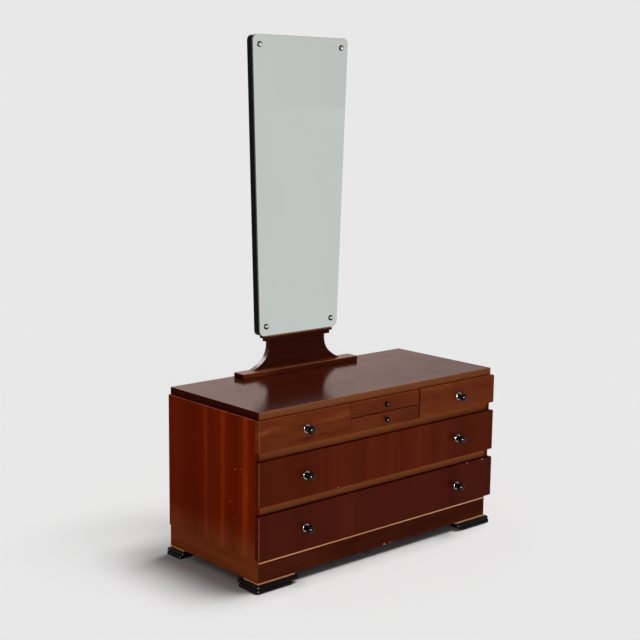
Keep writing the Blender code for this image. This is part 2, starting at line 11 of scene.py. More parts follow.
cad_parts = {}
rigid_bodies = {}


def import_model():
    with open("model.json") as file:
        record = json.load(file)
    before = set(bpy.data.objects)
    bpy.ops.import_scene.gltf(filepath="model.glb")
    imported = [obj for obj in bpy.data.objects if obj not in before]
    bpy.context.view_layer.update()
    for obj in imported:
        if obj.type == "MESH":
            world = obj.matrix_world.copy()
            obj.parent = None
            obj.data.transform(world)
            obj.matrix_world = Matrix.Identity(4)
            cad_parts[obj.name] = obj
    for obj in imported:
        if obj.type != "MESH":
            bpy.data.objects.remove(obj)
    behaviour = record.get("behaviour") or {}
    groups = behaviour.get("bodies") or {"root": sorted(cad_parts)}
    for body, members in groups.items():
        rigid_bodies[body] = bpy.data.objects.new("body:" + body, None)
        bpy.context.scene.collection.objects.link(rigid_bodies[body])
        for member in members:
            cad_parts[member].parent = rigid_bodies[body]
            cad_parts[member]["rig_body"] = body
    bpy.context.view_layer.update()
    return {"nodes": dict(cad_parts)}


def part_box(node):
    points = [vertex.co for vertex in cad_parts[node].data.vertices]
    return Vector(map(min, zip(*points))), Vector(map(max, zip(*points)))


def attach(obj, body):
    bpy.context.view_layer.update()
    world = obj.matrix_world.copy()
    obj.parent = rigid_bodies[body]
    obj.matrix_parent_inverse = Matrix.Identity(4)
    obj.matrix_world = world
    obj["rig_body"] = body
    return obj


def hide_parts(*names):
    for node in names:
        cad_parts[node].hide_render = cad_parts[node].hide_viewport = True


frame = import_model()
NODES = frame["nodes"]
LOW, HIGH = 0, 1
AXES = "XYZ"

# Camera, fitted to the edges of the chest and the mirror in a square picture
PICTURE_WIDTH = 640
FOCAL_PIXELS = 1275.2
SENSOR_WIDTH = 36.0
CAMERA_PLACE = Vector((-2.9455, -3.1677, 1.5275))
CAMERA_PITCH = math.radians(9.755)
CAMERA_YAW = math.radians(41.938)
CAMERA_ROLL = math.radians(0.674)

# Background and floor, and how far out the floor passes into the background
BACKGROUND = (232, 232, 232)
FLOOR_COLOUR = (239, 239, 239)
FLOOR_ROUGH = 0.9
FLOOR_REACH = 200.0
FLOOR_FADE = (2.2, 5.0)

# Strength of the light from around, at the horizon and overhead
WORLD_LIGHT = (0.0325, 0.1755)

# The room that polished pieces show, and the spans over which its parts pass into each other
ROOM_DIM = (0.32, 0.30, 0.29, 1.0)
ROOM_LEFT = (1.04, 0.79, 0.72, 1.0)
ROOM_RIGHT = (0.42, 0.32, 0.29, 1.0)
ROOM_RISE = (0.087, 0.156)
ROOM_ACROSS = (-0.30, 0.35)
ROOM_DEPTH = (-0.2, 0.4)

# Lamps: energy, then size, turn from the front towards the right, and rise from the floor, in degrees
KEY_LAMP = (2.58, 26.0, 72.0, 73.0)
FRONT_LAMP = (0.60, 8.0, -34.0, 5.0)

# Lamps that show only as a gleam on some pieces, by the start of the pieces' names
GLEAMS = {
    ("knob_", "mirror_screw"): (10.0, 20.0, -32.0, 8.0),
    ("foot_front", "foot_back"): (28.0, 30.0, -20.0, 12.0),
    ("stand_neck",): (2.4, 30.0, 190.0, 43.0),
}

# Smooth shading, turned pieces and the edge of the glass
SMOOTH_ANGLE = math.radians(38)
FLAT_WEIGHT = 100
WELD = 0.00001
TURN_STEPS = 56
ARC_STEPS = 20
STEM_RADIUS = 0.005
SMALL_STEM_RADIUS = 0.0035
COLLAR_PLAY = 0.0004
COLLAR_RIM_RADIUS = 0.0015
COLLAR_DISH = 0.0020
# Painted shade: reach from the seat over which a collar's chrome is darkened, so that its dish looks shaded
COLLAR_SEAT_SHADE = 0.0042
SCREW_HEAD = 0.0055
SCREW_SHANK_RADIUS = 0.003
SCREW_RIM = 0.0012
# Painted shade: reach from the glass over which a screw's chrome is darkened, all but the crown of its dome
SCREW_SEAT_SHADE = 0.0050
GLASS_ARRIS = 0.0008
GLASS_ARRIS_STEPS = 2


class Pattern(NamedTuple):
    """A noise: how often it changes in a metre across the grain and along it, how far it lies from the
    board's seed, and its detail, roughness and distortion."""
    across: float
    along: float
    shift: float = 0.0
    detail: float = 2.0
    rough: float = 0.5
    warp: float = 0.0


# How far a seed moves a pattern along each axis
SEED_STEPS = (1.0, 1.7, 2.3)

# The full core of a pale edge line and of a chip, and how squarely a face has to look along an axis
ARRIS_CORE = 0.4
CHIP_CORE = 0.6
SQUARELY = (0.5, 0.9)

# Mahogany, from its broad figure to its pores
BROAD = Pattern(13.0, 0.55, 3.1, 3.0, 0.55, 0.5)
WANDER = Pattern(5.0, 1.1)
WANDER_SPAN = (0.2, 0.8, -0.026, 0.026)
FADE = Pattern(8.0, 2.6, 6.6)
FADE_SPAN = (0.35, 0.70, 0.0, 0.40)
FADED = (0.44, 0.44, 0.44, 1.0)
STREAK = Pattern(95.0, 1.3, 5.7, 4.0, 0.6, 0.3)
STREAK_SHARE = 0.14
FLAME = Pattern(26.0, 7.0, 8.2, 3.0, 0.55, 1.2)
MIDDLE_LEVEL = 0.5
HAIR = Pattern(520.0, 6.0, 1.3)
PORE_SPAN = (0.60, 0.72)
PORE_DARKNESS = 0.35
PORE_ROUGH = 0.10
PORE_RELIEF = (0.10, 0.0002)
WAVE = Pattern(16.0, 5.0)
WAVE_RELIEF = (0.06, 0.0012)
TONE_STOPS = (0.26, 0.50, 0.74)
EDGE_SPAN = (0.0014, 0.0006)
FOOT_FADE = 0.11

# Lacquer and its wear, with the pale edge lines where the lacquer has gone and, on the stand's base, also a
# painted highlight
LACQUER_GLOSS = (0.25, 0.75, 0.12, 0.22)
SMUDGE = Pattern(7.0, 7.0, 4.4, 4.0, 0.6)
RAGGED = Pattern(150.0, 150.0, 0.0, 3.0, 0.6)
RAGGED_SPAN = (0.30, 0.52)
PATCHY = Pattern(17.0, 17.0, 2.2)
PATCHY_SPAN = (0.35, 0.70)
RUB_SPAN = (0.0030, 0.0002)
WEAR_AND_SHEEN_ROUGH = 0.3
COAT_SPAN = (0.2, 0.8)
COAT_SMUDGED = 0.85
TOP_COAT = ("Z", 0.5, 0.9, 0.86, 0.16)
NECK_COAT = ("Z", 0.05, 0.5, 0.85, 0.30)
FRONT_COAT = ("Y", 0.5, 0.9, 0.08, 0.10)

# Wood without lacquer
PLAIN_IOR = 1.35
PLAIN_BROAD = Pattern(22.0, 1.1, 0.0, 3.0, 0.55, 0.8)
PLAIN_STREAK = Pattern(160.0, 3.0, 5.7, 3.0, 0.6)
PLAIN_STREAK_SHARE = 0.4
PLAIN_STREAK_SPAN = (0.3, 0.7)
PLAIN_STREAK_ROUGH = 0.15
PLAIN_STREAK_RELIEF = (0.25, 0.0004)
PLAIN_STOPS = (0.30, 0.50, 0.70)
STAIN = Pattern(4.0, 4.0, 2.6, 4.0, 0.6)
STAIN_SPAN = (0.5, 0.8, 0.0, 0.35)

# Nails along the back panel, and dovetail pins at the corners of the drawer boxes
NAIL_PITCH = 0.090
NAIL_INSET = 0.007
NAIL_RADIUS = 0.0026
NAIL_CORE = 0.85
NAIL_RIM = 1.3
NAIL_RELIEF = (0.4, 0.0005)
NAIL_POLISH = 0.2
NAIL_STAIN = 0.009
NAIL_STAIN_SHARE = 0.5
PIN_PITCH = 0.024
PIN_TIP = 0.0025
PIN_SLOPE = 0.17
PIN_REACH = 0.012
PIN_LINE = 0.0004

# Black lacquer
SMEAR = Pattern(60.0, 14.0, 0.0, 4.0, 0.6, 0.4)
SMEAR_SPAN = (0.35, 0.75)
SMEAR_GLOSS_SPAN = (0.3, 0.8)
SMEAR_ROUGH = 0.12
SMEAR_RELIEF = (0.03, 0.0006)
DUST = Pattern(700.0, 700.0, 0.0, 1.0)
DUST_SPAN = (0.66, 0.76)
DUST_SHARE = 0.25

# Chrome and mirror glass
HAZE = Pattern(160.0, 160.0, 0.0, 4.0, 0.6)
HAZE_SPAN = (0.40, 0.75)
HAZE_GLOSS = (0.3, 0.8, 0.06, 0.18)
HAZE_RELIEF = (0.02, 0.0003)
# Share of that reach over which the painted shade near a chrome seat is full
SEAT_SHADE_CORE = 0.8
WIPE = Pattern(3.0, 1.6, 0.0, 4.0, 0.6, 0.6)
WIPE_SPAN = (0.3, 0.8)
WIPE_GLOSS = (0.35, 0.85, 0.015, 0.05)
GLASS_EDGE_SPAN = (0.000005, 0.00003)
GLASS_EDGE_ROUGH = 0.9


def linear(value):
    """One channel of a colour, 0 to 255, as the light that it stands for by the sRGB curve."""
    share = value / 255
    if share <= 0.04045:
        return share / 12.92
    return ((share + 0.055) / 1.055) ** 2.4


def tone(red, green, blue):
    """A colour for a socket."""
    return (linear(red), linear(green), linear(blue), 1.0)


# Tones of the mahogany, dark to light
SIDE = (tone(90, 20, 1), tone(111, 29, 2), tone(168, 57, 9))
PLINTH_SIDE = (tone(107, 44, 18), tone(128, 57, 26), tone(151, 75, 38))
TOP_ROW = (tone(87, 31, 9), tone(113, 49, 18), tone(149, 75, 33))
MIDDLE = (tone(70, 17, 2), tone(90, 27, 4), tone(118, 42, 9))
BOTTOM = (tone(62, 13, 3), tone(80, 23, 6), tone(102, 35, 12))
SLAB = (tone(40, 11, 4), tone(58, 18, 6), tone(80, 30, 12))
SLAB_FRONT = (tone(106, 56, 31), tone(133, 77, 45), tone(160, 102, 63))
RAIL = (tone(128, 66, 33), tone(154, 85, 46), tone(178, 108, 65))
PLINTH = (tone(60, 22, 12), tone(86, 35, 19), tone(116, 52, 26))
STAND = (tone(50, 17, 11), tone(74, 29, 19), tone(106, 47, 27))
BAR = (tone(64, 24, 13), tone(92, 40, 21), tone(126, 64, 32))
BAR_END = (tone(40, 10, 4), tone(58, 18, 8), tone(76, 28, 12))
RED_HAZE = (1.0, 0.35, 0.16, 1.0)
# The tone of pale edge lines: wood where the lacquer has gone, and on the stand's base also a painted
# highlight
WEAR_AND_SHEEN_TONE = tone(186, 132, 96)
CHIPPED_WOOD = tone(214, 176, 140)

# Tones of the wood without lacquer, dark to light
TAN = (tone(208, 138, 82), tone(240, 174, 114), tone(249, 200, 146))
UNDER = (tone(52, 34, 20), tone(70, 48, 30), tone(88, 64, 42))
PALE = (tone(168, 122, 76), tone(196, 152, 104), tone(214, 174, 128))
PLY = (tone(122, 84, 50), tone(152, 110, 70), tone(176, 134, 92))
END_GRAIN = tone(134, 92, 54)
NAIL_STEEL = tone(64, 58, 52)

# Tones of black lacquer, of chrome and of silvered glass. Pairs are clean and hazy.
BLACK = (tone(9, 8, 8), tone(20, 18, 17))
DUST_GREY = tone(60, 56, 52)
COLLAR_CHROME = (tone(206, 202, 197), tone(160, 153, 146))
SCREW_CHROME = (tone(240, 239, 236), tone(214, 211, 206))
# Painted shade on chrome near its seat
SEAT_SHADE = tone(26, 25, 24)
SILVER = (tone(211, 217, 213), tone(207, 214, 210))
GLASS_EDGE = tone(118, 126, 122)

# Stripes in the figure: places across a board, 0 to 1, and how light the wood is there
SIDE_RIBBONS = ((0.0, 0.42), (0.05, 0.60), (0.11, 0.78), (0.17, 0.56), (0.23, 0.28), (0.29, 0.46),
                (0.37, 0.70), (0.45, 0.42), (0.50, 0.38), (0.55, 0.66), (0.60, 0.36), (0.70, 0.28),
                (0.80, 0.34), (0.90, 0.50), (1.0, 0.38))
MIDDLE_RIBBONS = ((0.0, 0.26), (0.06, 0.34), (0.09, 0.56), (0.13, 0.36), (0.20, 0.50), (0.30, 0.66),
                  (0.50, 0.62), (0.68, 0.56), (0.78, 0.50), (0.82, 0.30), (0.90, 0.46), (1.0, 0.40))
BOTTOM_RIBBONS = ((0.0, 0.36), (0.09, 0.58), (0.13, 0.40), (0.24, 0.54), (0.40, 0.56), (0.58, 0.46),
                  (0.72, 0.50), (0.82, 0.22), (0.91, 0.36), (1.0, 0.26))
SMALL_UPPER_RIBBONS = ((0.0, 0.40), (0.5, 0.46), (1.0, 0.62))
SMALL_LOWER_RIBBONS = ((0.0, 0.50), (0.4, 0.40), (1.0, 0.14))
PLINTH_RIBBONS = ((0.0, 0.54), (0.2, 0.46), (0.4, 0.16), (0.7, 0.12), (1.0, 0.20))
BAR_RIBBONS = ((0.0, 0.86), (0.18, 0.80), (0.34, 0.52), (0.6, 0.42), (1.0, 0.50))
SLAB_RIBBONS = ((0.0, 0.56), (0.25, 0.62), (0.5, 0.50), (0.75, 0.36), (1.0, 0.26))

# Sides of a board, each by its axis and which end of it, and edges by two sides
LEFT = ("X", LOW)
FRONT = ("Y", LOW)
BASE = ("Z", LOW)
TOP = ("Z", HIGH)
FRONT_LEFT = (LEFT, FRONT)
FRONT_TOP = (FRONT, TOP)
LEFT_TOP = (LEFT, TOP)
LEFT_BASE = (LEFT, BASE)
FRONT_WEAR = [(*FRONT_LEFT, 0.0014, 0.75)]

# Chips in the lacquer on a side of a board, each with its place on that side and its radius
CHIPS = {
    "side_panel_left": (LEFT, [(-0.1014, 0.3779, 0.0017), (-0.1319, 0.3848, 0.0015),
                               (-0.0755, 0.2663, 0.0016), (-0.0961, 0.2151, 0.0015),
                               (0.0150, 0.1354, 0.0016)]),
    "top_panel": (TOP, [(-0.2739, -0.2091, 0.0018)]),
    "plinth_front": (FRONT, [(0.0173, 0.0320, 0.0042), (0.0463, 0.0310, 0.0030)]),
    "drawer_front_middle": (FRONT, [(-0.2098, 0.2810, 0.0019)]),
    "drawer_front_bottom": (FRONT, [(0.5044, 0.2475, 0.0040), (0.4226, 0.2478, 0.0034)]),
}

# The lacquered boards, each with the arguments of its wood
BOARDS = {
    "side_panel_left": dict(
        tones=SIDE, along="Z", seed=1.0, ribbons=SIDE_RIBBONS, across="Y", ribbon_share=0.72, ior=1.03,
        foot_tones=PLINTH_SIDE, wear_and_sheen=[(*LEFT_TOP, 0.0014, 0.7), (*LEFT_BASE, 0.0012, 0.25)]),
    "side_panel_right": dict(
        tones=SIDE, along="Z", seed=7.0, thin=0.5, ior=1.03, foot_tones=PLINTH_SIDE),
    "top_panel": dict(
        tones=SLAB, along="X", seed=2.0, ribbons=SLAB_RIBBONS, ior=1.02, coat=TOP_COAT,
        edge_tones=SLAB_FRONT, edge_of=FRONT,
        wear_and_sheen=[(*FRONT_TOP, 0.0012, 0.3), (*LEFT_BASE, 0.0012, 0.3), (*FRONT_LEFT, 0.0013, 0.5)]),
    "rail_lower": dict(tones=RAIL, along="X", seed=3.0, thin=0),
    "rail_upper": dict(tones=RAIL, along="X", seed=4.0, thin=0),
    "divider_left": dict(tones=RAIL, along="Y", seed=23.0, thin=0),
    "divider_right": dict(tones=RAIL, along="Y", seed=24.0, thin=0),
    "small_drawer_shelf": dict(tones=RAIL, along="Y", seed=25.0, thin=0),
    "plinth_front": dict(tones=PLINTH, along="X", seed=5.0, ribbons=PLINTH_RIBBONS, cloud=0.2),
    "plinth_left": dict(tones=PLINTH_SIDE, along="Y", seed=6.0),
    "plinth_right": dict(tones=PLINTH_SIDE, along="Y", seed=8.0),
    # The stand's base has a pale line along its front top edge: wear and a painted highlight
    "stand_base": dict(
        tones=BAR, along="X", seed=9.0, ribbons=BAR_RIBBONS, ribbon_share=0.75, coat=TOP_COAT,
        edge_tones=BAR_END, edge_of=LEFT, wear_and_sheen=[(*FRONT_TOP, 0.0022, 0.5)]),
    "stand_neck": dict(tones=STAND, along="X", seed=10.0, thin=0, coat=NECK_COAT),
    # The cap has a wide pale line along its front top edge
    "stand_cap": dict(tones=STAND, along="X", seed=11.0, wear_and_sheen=[(*FRONT_TOP, 0.0045, 0.55)]),
    "drawer_front_left": dict(
        tones=TOP_ROW, along="X", seed=21.0, cloud=0.5, wear_and_sheen=FRONT_WEAR, coat=FRONT_COAT),
    "drawer_front_right": dict(tones=TOP_ROW, along="X", seed=22.0, cloud=0.3, coat=FRONT_COAT),
    "drawer_front_small_upper": dict(
        tones=TOP_ROW, along="X", seed=23.0, cloud=0.2, ribbons=SMALL_UPPER_RIBBONS, coat=FRONT_COAT),
    "drawer_front_small_lower": dict(
        tones=TOP_ROW, along="X", seed=24.0, cloud=0.2, ribbons=SMALL_LOWER_RIBBONS, coat=FRONT_COAT),
    "drawer_front_middle": dict(
        tones=MIDDLE, along="Z", seed=25.0, ribbons=MIDDLE_RIBBONS, wear_and_sheen=FRONT_WEAR, coat=FRONT_COAT),
    "drawer_front_bottom": dict(
        tones=BOTTOM, along="Z", seed=26.0, ribbons=BOTTOM_RIBBONS, wear_and_sheen=FRONT_WEAR, coat=FRONT_COAT),
}


class Nodes:
    """A tree of shader nodes in the making."""

    def __init__(self, tree):
        self.tree = tree

    def feed(self, socket, value):
        """Links a socket to a node's output, or sets its value."""
        if isinstance(value, bpy.types.NodeSocket):
            self.tree.links.new(value, socket)
        else:
            socket.default_value = value

    def node(self, kind, sockets=None, **settings):
        """Adds a shader node with its settings and sockets."""
        made = self.tree.nodes.new("ShaderNode" + kind)
        for label, value in settings.items():
            setattr(made, label, value)
        for label, value in (sockets or {}).items():
            self.feed(made.inputs[label], value)
        return made

    def calc(self, operation, first, second=0.0):
        """One operation on one or two values."""
        return self.node("Math", {0: first, 1: second}, operation=operation).outputs[0]

    def vector_calc(self, operation, first, second=(0.0, 0.0, 0.0)):
        """The value that one operation on one or two vectors gives."""
        return self.node("VectorMath", {0: first, 1: second}, operation=operation).outputs["Value"]

    def span(self, value, start, end, low=0.0, high=1.0):
        """A smooth step of a value between two limits, with what it gives at them."""
        sockets = {"Value": value, "From Min": start, "From Max": end, "To Min": low, "To Max": high}
        return self.node("MapRange", sockets, interpolation_type="SMOOTHSTEP").outputs[0]

    def mix_shaders(self, share, first, second):
        """One shader that passes into another."""
        return self.node("MixShader", {0: share, 1: first, 2: second}).outputs[0]


class Paint(Nodes):
    """A material in the making."""

    def __init__(self, name, **sockets):
        self.material = bpy.data.materials.new(name)
        self.material.use_nodes = True
        super().__init__(self.material.node_tree)
        self.shader = self.tree.nodes["Principled BSDF"]
        self.place = self.node("TexCoord").outputs["Object"]
        self.xyz = self.node("SeparateXYZ", {0: self.place}).outputs
        self.shine(**sockets)

    def shine(self, **sockets):
        """Sets or links sockets of the shader."""
        for label, value in sockets.items():
            self.feed(self.shader.inputs[label.replace("_", " ")], value)

    def mix(self, share, first, second):
        """One colour that passes into another."""
        return self.node("Mix", {0: share, 6: first, 7: second}, data_type="RGBA").outputs[2]

    def add_share(self, value, part, share):
        """A value with a share of another added."""
        return self.calc("ADD", value, self.calc("MULTIPLY", part, share))

    def ramp(self, share, stops, colours):
        """A colour ramp through colours at their stops."""
        made = self.node("ValToRGB", {0: share})
        made.color_ramp.interpolation = "EASE"
        points = made.color_ramp.elements
        while len(points) < len(stops):
            points.new(0.5)
        for point, stop, colour in zip(points, stops, colours):
            point.position = stop
            point.color = colour
        return made.outputs[0]

    def noise(self, pattern, along="Z", seed=0.0):
        """A pattern drawn out along an axis."""
        scale = tuple(pattern.along if axis == along else pattern.across for axis in AXES)
        start = tuple((seed + pattern.shift) * step for step in SEED_STEPS)
        place = self.node("Mapping", {0: self.place, "Location": start, "Scale": scale}).outputs[0]
        sockets = {"Vector": place, "Scale": 1.0, "Detail": pattern.detail, "Roughness": pattern.rough,
                   "Distortion": pattern.warp}
        return self.node("TexNoise", sockets).outputs[0]

    def bump(self, height, strength, depth, below=None):
        """A relief by a height, on top of another relief if there is one."""
        sockets = {"Strength": strength, "Distance": depth, "Height": height}
        if below:
            sockets["Normal"] = below
        return self.node("Bump", sockets).outputs[0]

    def distance_to(self, axis, value):
        """How far the surface is from a plane across an axis."""
        return self.calc("ABSOLUTE", self.calc("SUBTRACT", self.xyz[axis], value))

    def from_side(self, box, axis, end):
        """How far the surface is from one side of a board."""
        return self.distance_to(axis, box[end][AXES.index(axis)])

    def from_ends(self, box, axis):
        """How far the surface is from the nearer end of a board along an axis."""
        index = AXES.index(axis)
        low, high = box[LOW][index], box[HIGH][index]
        return self.calc("SUBTRACT", (high - low) / 2, self.distance_to(axis, (low + high) / 2))

    def edge_distance(self, box):
        """How far a point on a rectangular board is from the board's nearest edge."""
        gaps = [self.from_ends(box, axis) for axis in AXES]
        lower = self.calc("MINIMUM", gaps[0], gaps[1])
        upper = self.calc("MAXIMUM", gaps[0], gaps[1])
        return self.calc("MAXIMUM", lower, self.calc("MINIMUM", upper, gaps[2]))

    def arris(self, box, first, second, width):
        """A mask along the edge between two sides of a board."""
        gap = self.calc("MAXIMUM", self.from_side(box, *first), self.from_side(box, *second))
        return self.span(gap, width, width * ARRIS_CORE)

    def rows(self, axis, start, pitch):
        """How far the surface is from the nearest of evenly spaced planes across an axis."""
        return self.calc("PINGPONG", self.calc("SUBTRACT", self.xyz[axis], start), pitch / 2)

    def length(self, first, second):
        """The length of a step in two directions."""
        return self.vector_calc("LENGTH", self.node("CombineXYZ", {0: first, 1: second}).outputs[0])

    def nails(self, box):
        """How far the surface is from the nearest nail along the four edges of a back panel."""
        middle = (box[LOW] + box[HIGH]) / 2
        level = self.length(self.rows("X", middle.x, NAIL_PITCH),
                            self.calc("SUBTRACT", self.from_ends(box, "Z"), NAIL_INSET))
        upright = self.length(self.rows("Z", middle.z, NAIL_PITCH),
                              self.calc("SUBTRACT", self.from_ends(box, "X"), NAIL_INSET))
        return self.calc("MINIMUM", level, upright)

    def pins(self, box):
        """A mask of the dovetail pins on the sides of a drawer box, at its four corners."""
        reach = self.from_ends(box, "Y")
        half = self.calc("ADD", self.calc("MULTIPLY", reach, PIN_SLOPE), PIN_TIP)
        gap = self.calc("SUBTRACT", self.rows("Z", box[LOW].z + PIN_PITCH / 2, PIN_PITCH), half)
        mask = self.calc("MULTIPLY", self.span(gap, PIN_LINE, -PIN_LINE),
                         self.span(reach, PIN_REACH, PIN_REACH - PIN_LINE))
        return self.calc("MULTIPLY", mask, self.facing("X", *SQUARELY))

    def facing(self, axis, low, high):
        """A mask of the faces that look along an axis, either way."""
        normal = self.node("NewGeometry").outputs["Normal"]
        share = self.node("SeparateXYZ", {0: normal}).outputs[axis]
        return self.span(self.calc("ABSOLUTE", share), low, high)

    def chip(self, centre, radius, ragged):
        """A ragged round mask about a point."""
        gap = self.add_share(self.vector_calc("DISTANCE", self.place, centre), ragged, radius)
        return self.span(gap, radius, radius * CHIP_CORE)


def grain(paint, box, along, seed, ribbons, across, ribbon_share, cloud):
    """How light the figure of a board is."""
    figure = paint.noise(BROAD, along, seed)
    if ribbons:
        index = AXES.index(across)
        limits = {"Value": paint.xyz[across], "From Min": box[LOW][index], "From Max": box[HIGH][index]}
        reach = paint.node("MapRange", limits).outputs[0]
        moved = paint.calc("ADD", reach, paint.span(paint.noise(WANDER, along, seed), *WANDER_SPAN))
        places, levels = zip(*ribbons)
        stripes = paint.ramp(moved, places, [(level, level, level, 1.0) for level in levels])
        stripes = paint.mix(paint.span(paint.noise(FADE, along, seed), *FADE_SPAN), stripes, FADED)
        figure = paint.mix(ribbon_share, figure, stripes)
    figure = paint.calc("MULTIPLY", figure, 1 - STREAK_SHARE)
    figure = paint.add_share(figure, paint.noise(STREAK, along, seed), STREAK_SHARE)
    if cloud:
        flame = paint.calc("SUBTRACT", paint.noise(FLAME, along, seed), MIDDLE_LEVEL)
        figure = paint.add_share(figure, flame, cloud)
    return figure


def toned(paint, box, figure, tones, edge_tones, edge_of, foot_tones):
    """The colour of a board by its figure, with other tones on one side and near its foot if it has them."""
    colour = paint.ramp(figure, TONE_STOPS, tones)
    if edge_tones:
        edge = paint.span(paint.from_side(box, *edge_of), *EDGE_SPAN)
        colour = paint.mix(edge, colour, paint.ramp(figure, TONE_STOPS, edge_tones))
    if foot_tones:
        foot = paint.span(paint.xyz["Z"], box[LOW].z + FOOT_FADE, box[LOW].z)
        colour = paint.mix(foot, colour, paint.ramp(figure, TONE_STOPS, foot_tones))
    return colour


def wear_and_sheen_edges(paint, box, wear_and_sheen, ragged):
    """A mask of pale lines along edges, where the lacquer has gone and on the stand's base also a painted
    highlight, or None for a board that has none.
    """
    wear_and_sheen_mask = None
    for first, second, width, strength in wear_and_sheen:
        line = paint.calc("MULTIPLY", paint.arris(box, first, second, width), strength)
        line = paint.calc("MULTIPLY", line, paint.span(ragged, *RAGGED_SPAN))
        wear_and_sheen_mask = paint.calc("MAXIMUM", wear_and_sheen_mask, line) if wear_and_sheen_mask else line
    return wear_and_sheen_mask


def chipped(paint, box, colour, ragged, side, chips):
    """The colour of a board with the chips on one of its sides."""
    axis, end = side
    index = AXES.index(axis)
    rim = paint.calc("SUBTRACT", ragged, MIDDLE_LEVEL)
    for first, second, radius in chips:
        centre = [first, second]
        centre.insert(index, box[end][index])
        colour = paint.mix(paint.chip(centre, radius, rim), colour, CHIPPED_WOOD)
    return colour


def lacquer(paint, along, seed, pores, wear_and_sheen_mask, coat):
    """Gloss and relief of a board. A coat is an axis, how squarely a face has to look along it to have the
    coat, and the coat's weight and roughness."""
    smudge = paint.noise(SMUDGE, along, seed)
    gloss = paint.add_share(paint.span(smudge, *LACQUER_GLOSS), pores, PORE_ROUGH)
    if wear_and_sheen_mask:
        gloss = paint.add_share(gloss, wear_and_sheen_mask, WEAR_AND_SHEEN_ROUGH)
    relief = paint.bump(paint.calc("SUBTRACT", 1.0, pores), *PORE_RELIEF)
    relief = paint.bump(paint.noise(WAVE, along, seed), *WAVE_RELIEF, relief)
    paint.shine(Roughness=gloss, Normal=relief)
    if coat:
        axis, low, high, weight, rough = coat
        polish = paint.span(smudge, *COAT_SPAN, weight, weight * COAT_SMUDGED)
        polish = paint.calc("MULTIPLY", paint.facing(axis, low, high), polish)
        paint.shine(Coat_Weight=polish, Coat_Roughness=rough)


def wood(node, tones, along, seed, ribbons=(), across="X", ribbon_share=0.55, cloud=0.0, ior=1.04,
         wear_and_sheen=(), thin=0.35, edge_tones=None, edge_of=None, foot_tones=None, coat=None):
    """Lacquered mahogany for one board.

    tones are dark, middle and light. ribbons are stripes, with their places along the axis across, and
    ribbon_share is how much of the figure they are. cloud is how strong a flame is in the figure, and
    thin how much the lacquer is rubbed along all edges. The edge lines are listed each with a width and a
    strength: pale lines where the lacquer has gone, and on the stand's base also a painted highlight.
    edge_tones are those of the side edge_of, and foot_tones those near the foot."""
    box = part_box(node)
    paint = Paint(node + "_wood", IOR=ior, Specular_Tint=RED_HAZE)
    figure = grain(paint, box, along, seed, ribbons, across, ribbon_share, cloud)
    colour = toned(paint, box, figure, tones, edge_tones, edge_of, foot_tones)
    pores = paint.span(paint.noise(HAIR, along, seed), *PORE_SPAN)
    colour = paint.mix(paint.calc("MULTIPLY", pores, PORE_DARKNESS), colour, tones[0])
    if thin:
        patches = paint.span(paint.noise(PATCHY, along, seed), *PATCHY_SPAN)
        rub = paint.calc("MULTIPLY", paint.span(paint.edge_distance(box), *RUB_SPAN), patches)
        colour = paint.mix(paint.calc("MULTIPLY", rub, thin), colour, tones[2])
    ragged = paint.noise(RAGGED, along, seed)
    wear_and_sheen_mask = wear_and_sheen_edges(paint, box, wear_and_sheen, ragged)
    # Pale edge lines: wood where the lacquer has gone, and on the stand's base also a painted highlight
    if wear_and_sheen_mask:
        colour = paint.mix(wear_and_sheen_mask, colour, WEAR_AND_SHEEN_TONE)
    if node in CHIPS:
        colour = chipped(paint, box, colour, ragged, *CHIPS[node])
    paint.shine(Base_Color=colour)
    lacquer(paint, along, seed, pores, wear_and_sheen_mask, coat)
    return paint.material


def bare_wood(name, tones, along, seed, rough=0.55, nailed=None, dovetailed=None):
    """Plain wood without lacquer, for what is inside the drawers, the back and the inlays.

    nailed is the box of a panel with nails along its edges, and dovetailed that of a drawer box."""
    paint = Paint(name, IOR=PLAIN_IOR)
    streak = paint.noise(PLAIN_STREAK, along, seed)
    figure = paint.calc("MULTIPLY", paint.noise(PLAIN_BROAD, along, seed), 1 - PLAIN_STREAK_SHARE)
    colour = paint.ramp(paint.add_share(figure, streak, PLAIN_STREAK_SHARE), PLAIN_STOPS, tones)
    colour = paint.mix(paint.span(paint.noise(STAIN, along, seed), *STAIN_SPAN), colour, tones[0])
    gloss = paint.span(streak, *PLAIN_STREAK_SPAN, rough, rough + PLAIN_STREAK_ROUGH)
    relief = paint.bump(streak, *PLAIN_STREAK_RELIEF)
    if nailed:
        gap = paint.nails(nailed)
        stained = paint.span(gap, NAIL_STAIN, NAIL_RADIUS, 0.0, NAIL_STAIN_SHARE)
        colour = paint.mix(stained, colour, tones[0])
        head = paint.span(gap, NAIL_RADIUS, NAIL_RADIUS * NAIL_CORE)
        colour = paint.mix(head, colour, NAIL_STEEL)
        gloss = paint.calc("SUBTRACT", gloss, paint.calc("MULTIPLY", head, NAIL_POLISH))
        relief = paint.bump(paint.span(gap, NAIL_RADIUS * NAIL_RIM, NAIL_RADIUS), *NAIL_RELIEF, relief)
    if dovetailed:
        colour = paint.mix(paint.pins(dovetailed), colour, END_GRAIN)
    paint.shine(Base_Color=colour, Roughness=gloss, Normal=relief)
    return paint.material


